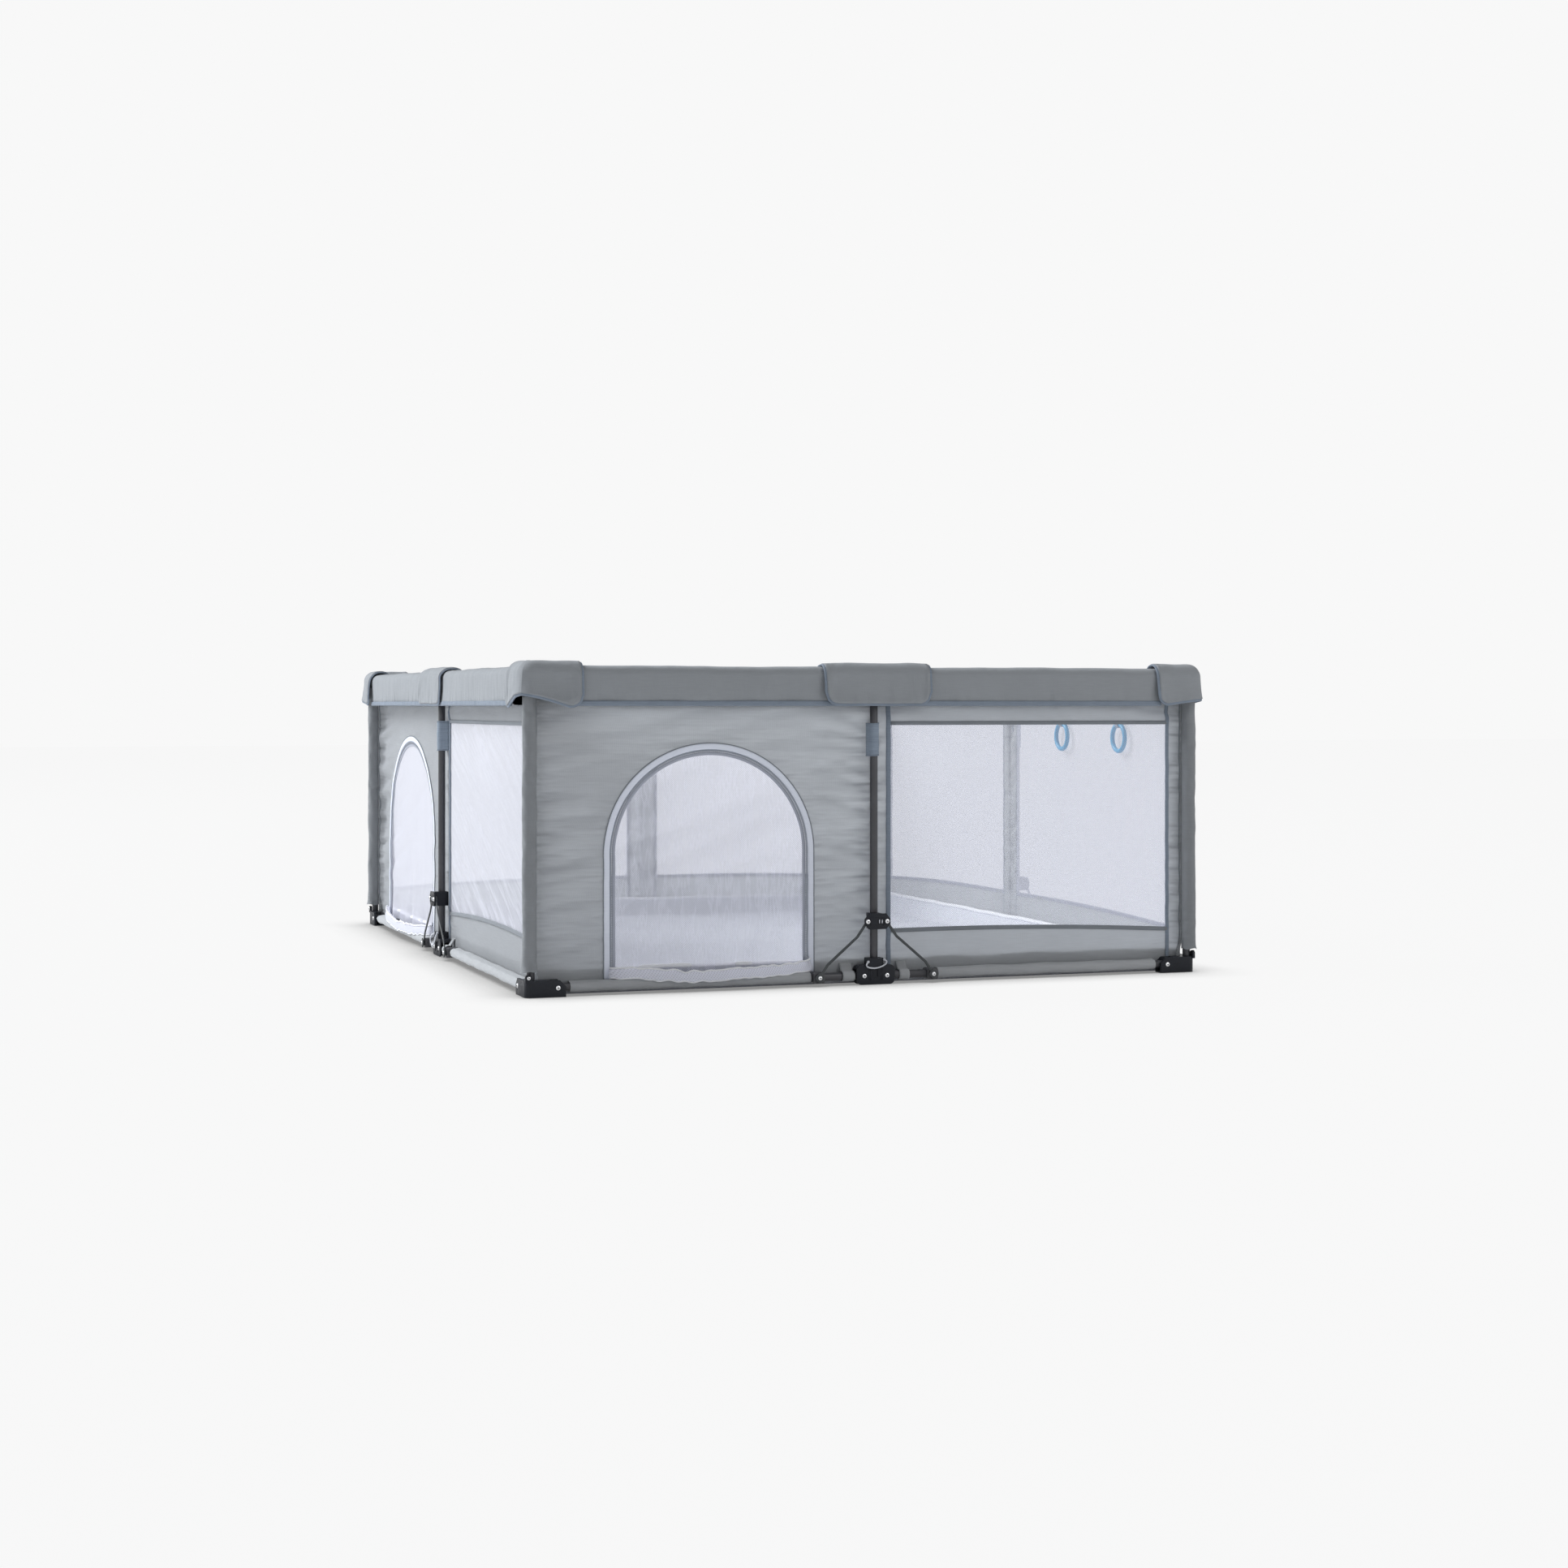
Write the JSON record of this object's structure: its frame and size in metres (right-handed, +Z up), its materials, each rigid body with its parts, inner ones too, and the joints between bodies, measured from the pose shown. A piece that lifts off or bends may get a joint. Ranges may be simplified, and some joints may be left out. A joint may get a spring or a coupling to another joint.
{
  "type": "folding play pen",
  "caption": "Rectangular folding play pen: padded top rails, fabric and net walls with two zip doors, hinged hubs and a sewn-in floor mat.",
  "frame": {"origin": "centre of the footprint, on the floor", "axes": "+X along the short sides to the right, +Y along the long sides from front to back, +Z up"},
  "size_m": [1.5, 1.8, 0.664],
  "materials": {
    "dark_steel": "satin powder coat on steel tube",
    "dark_rod": "satin black steel bar",
    "black_plastic": "fine moulded grain",
    "grey_oxford": "plain woven oxford cloth",
    "grey_padding": "oxford cloth over foam padding",
    "mat_fabric": "quilted coated cloth",
    "white_mesh": "fine see-through net",
    "blue_plastic": "moulded, light blue"
  },
  "bodies": {
    "corner_front_left": {"corner_post_front_left": "dark_steel", "corner_brackets_front_left": "black_plastic", "wall_fabric_front_left": "grey_oxford", "top_cover_front_left": "grey_padding", "floor_mat": "mat_fabric"},
    "corner_front_right": {"corner_post_front_right": "dark_steel", "corner_brackets_front_right": "black_plastic", "wall_fabric_front_right": "grey_oxford", "top_cover_front_right": "grey_padding"},
    "corner_back_right": {"corner_post_back_right": "dark_steel", "corner_brackets_back_right": "black_plastic", "wall_fabric_back_right": "grey_oxford", "top_cover_back_right": "grey_padding"},
    "corner_back_left": {"corner_post_back_left": "dark_steel", "corner_brackets_back_left": "black_plastic", "wall_fabric_back_left": "grey_oxford", "top_cover_back_left": "grey_padding"},
    "mid_front": {"mid_post_front": "dark_steel", "mid_hubs_front": "black_plastic", "mid_flap_front": "grey_padding"},
    "slider_front": {"slider_front": "black_plastic"},
    "bottom_rail_front_left": {"bottom_rail_front_left": "dark_steel"},
    "top_rail_front_left": {"top_rail_front_left": "dark_steel"},
    "brace_front_left": {"brace_front_left": "dark_rod"},
    "bottom_rail_front_right": {"bottom_rail_front_right": "dark_steel"},
    "top_rail_front_right": {"top_rail_front_right": "dark_steel"},
    "brace_front_right": {"brace_front_right": "dark_rod"},
    "mid_right": {"mid_post_right": "dark_steel", "mid_hubs_right": "black_plastic", "mid_flap_right": "grey_padding"},
    "slider_right": {"slider_right": "black_plastic"},
    "bottom_rail_right_front": {"bottom_rail_right_front": "dark_steel"},
    "top_rail_right_front": {"top_rail_right_front": "dark_steel"},
    "brace_right_front": {"brace_right_front": "dark_rod"},
    "bottom_rail_right_back": {"bottom_rail_right_back": "dark_steel"},
    "top_rail_right_back": {"top_rail_right_back": "dark_steel"},
    "brace_right_back": {"brace_right_back": "dark_rod"},
    "mid_back": {"mid_post_back": "dark_steel", "mid_hubs_back": "black_plastic", "mid_flap_back": "grey_padding"},
    "slider_back": {"slider_back": "black_plastic"},
    "bottom_rail_back_right": {"bottom_rail_back_right": "dark_steel"},
    "top_rail_back_right": {"top_rail_back_right": "dark_steel"},
    "brace_back_right": {"brace_back_right": "dark_rod"},
    "bottom_rail_back_left": {"bottom_rail_back_left": "dark_steel"},
    "top_rail_back_left": {"top_rail_back_left": "dark_steel"},
    "brace_back_left": {"brace_back_left": "dark_rod"},
    "mid_left": {"mid_post_left": "dark_steel", "mid_hubs_left": "black_plastic", "mid_flap_left": "grey_padding"},
    "slider_left": {"slider_left": "black_plastic"},
    "bottom_rail_left_back": {"bottom_rail_left_back": "dark_steel"},
    "top_rail_left_back": {"top_rail_left_back": "dark_steel"},
    "brace_left_back": {"brace_left_back": "dark_rod"},
    "bottom_rail_left_front": {"bottom_rail_left_front": "dark_steel"},
    "top_rail_left_front": {"top_rail_left_front": "dark_steel"},
    "brace_left_front": {"brace_left_front": "dark_rod"},
    "door_front": {"door_front": "white_mesh"},
    "door_left": {"door_left": "white_mesh"},
    "pull_rings": {"pull_rings": "blue_plastic"}
  },
  "joints": [
    {"name": "fold_front", "type": "hinge", "parent": "corner_front_left", "child": "bottom_rail_front_left", "pos_m": [-0.67, -0.872, 0.018], "axis": [0, -1, 0], "range_deg": [0, 84], "deforming": ["wall_fabric_front_left", "wall_fabric_front_right", "wall_fabric_back_right", "wall_fabric_back_left", "top_cover_front_left", "top_cover_front_right", "top_cover_back_right", "top_cover_back_left", "floor_mat"]},
    {"name": "front_left_rail_hub_pivot", "type": "hinge", "parent": "bottom_rail_front_left", "child": "mid_front", "pos_m": [-0.025, -0.872, 0.018], "axis": [0, 1, 0], "range_deg": [0, 84]},
    {"name": "front_right_rail_hub_pivot", "type": "hinge", "parent": "mid_front", "child": "bottom_rail_front_right", "pos_m": [0.025, -0.872, 0.018], "axis": [0, 1, 0], "range_deg": [0, 84]},
    {"name": "front_right_rail_foot_pivot", "type": "hinge", "parent": "bottom_rail_front_right", "child": "corner_front_right", "pos_m": [0.67, -0.872, 0.018], "axis": [0, -1, 0], "range_deg": [0, 84]},
    {"name": "fold_left", "type": "hinge", "parent": "corner_front_left", "child": "bottom_rail_left_front", "pos_m": [-0.722, -0.82, 0.018], "axis": [1, 0, 0], "range_deg": [0, 84]},
    {"name": "left_front_rail_hub_pivot", "type": "hinge", "parent": "bottom_rail_left_front", "child": "mid_left", "pos_m": [-0.722, -0.025, 0.018], "axis": [-1, 0, 0], "range_deg": [0, 84]},
    {"name": "left_back_rail_hub_pivot", "type": "hinge", "parent": "mid_left", "child": "bottom_rail_left_back", "pos_m": [-0.722, 0.025, 0.018], "axis": [-1, 0, 0], "range_deg": [0, 84]},
    {"name": "left_back_rail_foot_pivot", "type": "hinge", "parent": "bottom_rail_left_back", "child": "corner_back_left", "pos_m": [-0.722, 0.82, 0.018], "axis": [1, 0, 0], "range_deg": [0, 84]},
    {"name": "right_front_rail_foot_pivot", "type": "hinge", "parent": "corner_front_right", "child": "bottom_rail_right_front", "pos_m": [0.722, -0.82, 0.018], "axis": [1, 0, 0], "range_deg": [0, 84]},
    {"name": "right_front_rail_hub_pivot", "type": "hinge", "parent": "bottom_rail_right_front", "child": "mid_right", "pos_m": [0.722, -0.025, 0.018], "axis": [-1, 0, 0], "range_deg": [0, 84]},
    {"name": "right_back_rail_hub_pivot", "type": "hinge", "parent": "mid_right", "child": "bottom_rail_right_back", "pos_m": [0.722, 0.025, 0.018], "axis": [-1, 0, 0], "range_deg": [0, 84]},
    {"name": "right_back_rail_foot_pivot", "type": "hinge", "parent": "bottom_rail_right_back", "child": "corner_back_right", "pos_m": [0.722, 0.82, 0.018], "axis": [1, 0, 0], "range_deg": [0, 84]},
    {"name": "back_right_rail_foot_pivot", "type": "hinge", "parent": "corner_back_right", "child": "bottom_rail_back_right", "pos_m": [0.67, 0.872, 0.018], "axis": [0, 1, 0], "range_deg": [0, 84]},
    {"name": "back_left_rail_foot_pivot", "type": "hinge", "parent": "corner_back_left", "child": "bottom_rail_back_left", "pos_m": [-0.67, 0.872, 0.018], "axis": [0, -1, 0], "range_deg": [0, 84]},
    {"name": "back_left_rail_hub_pivot", "type": "hinge", "parent": "bottom_rail_back_left", "child": "mid_back", "pos_m": [-0.025, 0.872, 0.018], "axis": [0, 1, 0], "range_deg": [0, 84]},
    {"name": "front_left_top_rail_pivot", "type": "hinge", "parent": "corner_front_left", "child": "top_rail_front_left", "pos_m": [-0.67, -0.872, 0.638], "axis": [0, -1, 0], "range_deg": [0, 84]},
    {"name": "front_right_top_rail_pivot", "type": "hinge", "parent": "corner_front_right", "child": "top_rail_front_right", "pos_m": [0.67, -0.872, 0.638], "axis": [0, 1, 0], "range_deg": [0, 84]},
    {"name": "right_front_top_rail_pivot", "type": "hinge", "parent": "corner_front_right", "child": "top_rail_right_front", "pos_m": [0.722, -0.82, 0.638], "axis": [1, 0, 0], "range_deg": [0, 84]},
    {"name": "right_back_top_rail_pivot", "type": "hinge", "parent": "corner_back_right", "child": "top_rail_right_back", "pos_m": [0.722, 0.82, 0.638], "axis": [-1, 0, 0], "range_deg": [0, 84]},
    {"name": "back_right_top_rail_pivot", "type": "hinge", "parent": "corner_back_right", "child": "top_rail_back_right", "pos_m": [0.67, 0.872, 0.638], "axis": [0, 1, 0], "range_deg": [0, 84]},
    {"name": "back_left_top_rail_pivot", "type": "hinge", "parent": "corner_back_left", "child": "top_rail_back_left", "pos_m": [-0.67, 0.872, 0.638], "axis": [0, -1, 0], "range_deg": [0, 84]},
    {"name": "left_back_top_rail_pivot", "type": "hinge", "parent": "corner_back_left", "child": "top_rail_left_back", "pos_m": [-0.722, 0.82, 0.638], "axis": [-1, 0, 0], "range_deg": [0, 84]},
    {"name": "left_front_top_rail_pivot", "type": "hinge", "parent": "corner_front_left", "child": "top_rail_left_front", "pos_m": [-0.722, -0.82, 0.638], "axis": [1, 0, 0], "range_deg": [0, 84]},
    {"name": "front_slider_travel", "type": "slide", "parent": "mid_front", "child": "slider_front", "axis": [0, 0, -1], "range_m": [0, 0.0595]},
    {"name": "front_left_brace_pivot", "type": "hinge", "parent": "slider_front", "child": "brace_front_left", "pos_m": [-0.021, -0.872, 0.13], "axis": [0, -1, 0], "range_deg": [0, 37.5]},
    {"name": "front_right_brace_pivot", "type": "hinge", "parent": "slider_front", "child": "brace_front_right", "pos_m": [0.021, -0.872, 0.13], "axis": [0, 1, 0], "range_deg": [0, 37.5]},
    {"name": "right_slider_travel", "type": "slide", "parent": "mid_right", "child": "slider_right", "axis": [0, 0, -1], "range_m": [0, 0.0595]},
    {"name": "right_front_brace_pivot", "type": "hinge", "parent": "slider_right", "child": "brace_right_front", "pos_m": [0.722, -0.021, 0.13], "axis": [1, 0, 0], "range_deg": [0, 37.5]},
    {"name": "right_back_brace_pivot", "type": "hinge", "parent": "slider_right", "child": "brace_right_back", "pos_m": [0.722, 0.021, 0.13], "axis": [-1, 0, 0], "range_deg": [0, 37.5]},
    {"name": "back_slider_travel", "type": "slide", "parent": "mid_back", "child": "slider_back", "axis": [0, 0, -1], "range_m": [0, 0.0595]},
    {"name": "back_right_brace_pivot", "type": "hinge", "parent": "slider_back", "child": "brace_back_right", "pos_m": [0.021, 0.872, 0.13], "axis": [0, 1, 0], "range_deg": [0, 37.5]},
    {"name": "back_left_brace_pivot", "type": "hinge", "parent": "slider_back", "child": "brace_back_left", "pos_m": [-0.021, 0.872, 0.13], "axis": [0, -1, 0], "range_deg": [0, 37.5]},
    {"name": "left_slider_travel", "type": "slide", "parent": "mid_left", "child": "slider_left", "axis": [0, 0, -1], "range_m": [0, 0.0595]},
    {"name": "left_back_brace_pivot", "type": "hinge", "parent": "slider_left", "child": "brace_left_back", "pos_m": [-0.722, 0.021, 0.13], "axis": [-1, 0, 0], "range_deg": [0, 37.5]},
    {"name": "left_front_brace_pivot", "type": "hinge", "parent": "slider_left", "child": "brace_left_front", "pos_m": [-0.722, -0.021, 0.13], "axis": [1, 0, 0], "range_deg": [0, 37.5]},
    {"name": "door_front_hem", "type": "hinge", "parent": "bottom_rail_front_left", "child": "door_front", "pos_m": [-0.35, -0.85625, 0.027], "axis": [1, 0, 0], "range_deg": [0, 90], "deforming": ["door_front"]},
    {"name": "door_left_hem", "type": "hinge", "parent": "bottom_rail_left_back", "child": "door_left", "pos_m": [-0.70625, 0.35, 0.027], "axis": [0, -1, 0], "range_deg": [0, 90], "deforming": ["door_left"]},
    {"name": "pull_ring_swing", "type": "hinge", "parent": "top_rail_right_front", "child": "pull_rings", "pos_m": [0.692, -0.613, 0.53], "axis": [0, 1, 0], "range_deg": [0, 80]}
  ],
  "couplings": [
    {"joint": "front_left_rail_hub_pivot", "follows": "fold_front", "ratio": 1},
    {"joint": "front_right_rail_hub_pivot", "follows": "fold_front", "ratio": 1},
    {"joint": "front_right_rail_foot_pivot", "follows": "fold_front", "ratio": 1},
    {"joint": "left_front_rail_hub_pivot", "follows": "fold_left", "ratio": 1},
    {"joint": "left_back_rail_hub_pivot", "follows": "fold_left", "ratio": 1},
    {"joint": "left_back_rail_foot_pivot", "follows": "fold_left", "ratio": 1},
    {"joint": "right_front_rail_foot_pivot", "follows": "fold_left", "ratio": 1},
    {"joint": "right_front_rail_hub_pivot", "follows": "fold_left", "ratio": 1},
    {"joint": "right_back_rail_hub_pivot", "follows": "fold_left", "ratio": 1},
    {"joint": "right_back_rail_foot_pivot", "follows": "fold_left", "ratio": 1},
    {"joint": "back_right_rail_foot_pivot", "follows": "fold_front", "ratio": 1},
    {"joint": "back_left_rail_foot_pivot", "follows": "fold_front", "ratio": 1},
    {"joint": "back_left_rail_hub_pivot", "follows": "fold_front", "ratio": 1},
    {"joint": "front_left_top_rail_pivot", "follows": "fold_front", "ratio": 1},
    {"joint": "front_right_top_rail_pivot", "follows": "fold_front", "ratio": 1},
    {"joint": "right_front_top_rail_pivot", "follows": "fold_left", "ratio": 1},
    {"joint": "right_back_top_rail_pivot", "follows": "fold_left", "ratio": 1},
    {"joint": "back_right_top_rail_pivot", "follows": "fold_front", "ratio": 1},
    {"joint": "back_left_top_rail_pivot", "follows": "fold_front", "ratio": 1},
    {"joint": "left_back_top_rail_pivot", "follows": "fold_left", "ratio": 1},
    {"joint": "left_front_top_rail_pivot", "follows": "fold_left", "ratio": 1},
    {"joint": "front_slider_travel", "follows": "fold_front", "m_per_rad": 0.040446},
    {"joint": "front_left_brace_pivot", "follows": "fold_front", "ratio": 0.44587},
    {"joint": "front_right_brace_pivot", "follows": "fold_front", "ratio": 0.44587},
    {"joint": "right_slider_travel", "follows": "fold_left", "m_per_rad": 0.040446},
    {"joint": "right_front_brace_pivot", "follows": "fold_left", "ratio": 0.44587},
    {"joint": "right_back_brace_pivot", "follows": "fold_left", "ratio": 0.44587},
    {"joint": "back_slider_travel", "follows": "fold_front", "m_per_rad": 0.040446},
    {"joint": "back_right_brace_pivot", "follows": "fold_front", "ratio": 0.44587},
    {"joint": "back_left_brace_pivot", "follows": "fold_front", "ratio": 0.44587},
    {"joint": "left_slider_travel", "follows": "fold_left", "m_per_rad": 0.040446},
    {"joint": "left_back_brace_pivot", "follows": "fold_left", "ratio": 0.44587},
    {"joint": "left_front_brace_pivot", "follows": "fold_left", "ratio": 0.44587}
  ]
}
